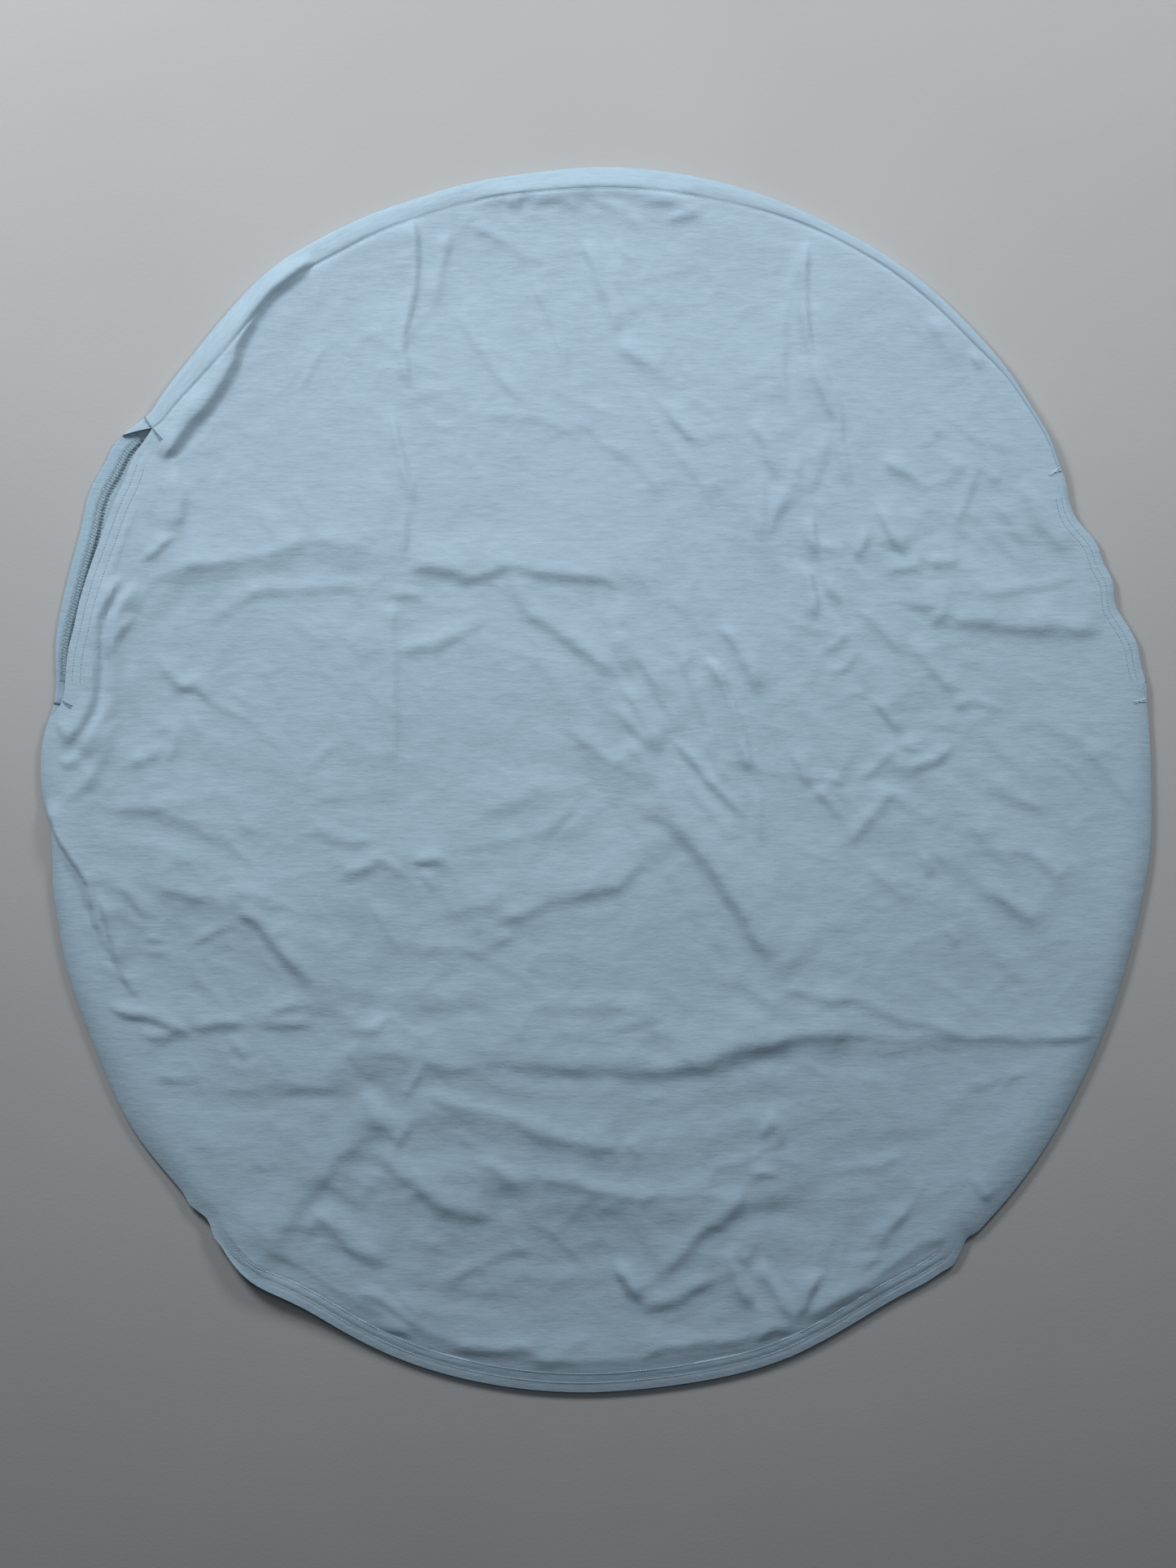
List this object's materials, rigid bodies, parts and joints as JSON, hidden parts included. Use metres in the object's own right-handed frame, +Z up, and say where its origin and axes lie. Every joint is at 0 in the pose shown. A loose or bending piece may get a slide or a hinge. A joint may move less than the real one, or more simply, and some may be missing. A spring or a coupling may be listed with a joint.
{
  "type": "collapsible backdrop panel",
  "caption": "Oval sprung-hoop panel in a two-layer cotton jersey cover, with a rim casing, an open twin-stitched hem and two side slots; it bends over in the middle to collapse.",
  "frame": {"origin": "middle of the underside, on the surface that the panel lies on", "axes": "+Y towards the rim casing and -Y towards the open hem, along the panel's length; +Z up out of the front layer; +X towards the shut slot"},
  "size_m": [0.7614, 0.8402, 0.0092],
  "materials": {
    "jersey": "soft matt cotton jersey, pale grey-blue",
    "jersey_inside": "purl side of the same jersey",
    "thread": "spun polyester thread in the cloth's colour",
    "spring_steel": "tempered spring strip",
    "fitting_steel": "plain pressed steel"
  },
  "bodies": {
    "right_half": {"front_panel_right": "jersey", "back_panel_right": "jersey", "rim_casing_right": "jersey", "rim_stitching_right": "thread", "bottom_hem_front_right": "jersey_inside", "bottom_hem_back_right": "jersey_inside", "hem_stitching_right": "thread", "side_seam_right": "jersey_inside", "right_slot_back_hem": "jersey_inside", "right_slot_bar_tacks": "thread", "hoop_band_right": "spring_steel"},
    "left_half": {"front_panel_left": "jersey", "back_panel_left": "jersey", "rim_casing_left": "jersey", "rim_stitching_left": "thread", "bottom_hem_front_left": "jersey_inside", "bottom_hem_back_left": "jersey_inside", "hem_stitching_left": "thread", "side_seam_left": "jersey_inside", "left_slot_back_hem": "jersey_inside", "left_slot_overlock": "thread", "left_slot_bar_tacks": "thread", "hoop_band_left": "spring_steel", "hoop_sleeve": "fitting_steel", "sleeve_rivets": "fitting_steel"},
    "left_lip": {"left_slot_lip": "jersey", "left_slot_stitching": "thread"},
    "right_lip": {"right_slot_lip": "jersey", "right_slot_stitching": "thread"}
  },
  "joints": [
    {"name": "fold", "type": "hinge", "parent": "right_half", "child": "left_half", "pos_m": [0, 0, 0.0094], "axis": [0, 1, 0], "range_deg": [0, 150], "stiffness_Nm_per_rad": 0.4},
    {"name": "left_slot_lift", "type": "hinge", "parent": "left_half", "child": "left_lip", "pos_m": [-0.3278, 0.1396, 0.0083], "axis": [0.2511, 0.968, 0], "range_deg": [0, 60]},
    {"name": "right_slot_lift", "type": "hinge", "parent": "right_half", "child": "right_lip", "pos_m": [0.33905, 0.13024, 0.0083], "axis": [0.3668, -0.9303, 0], "range_deg": [0, 60]}
  ]
}
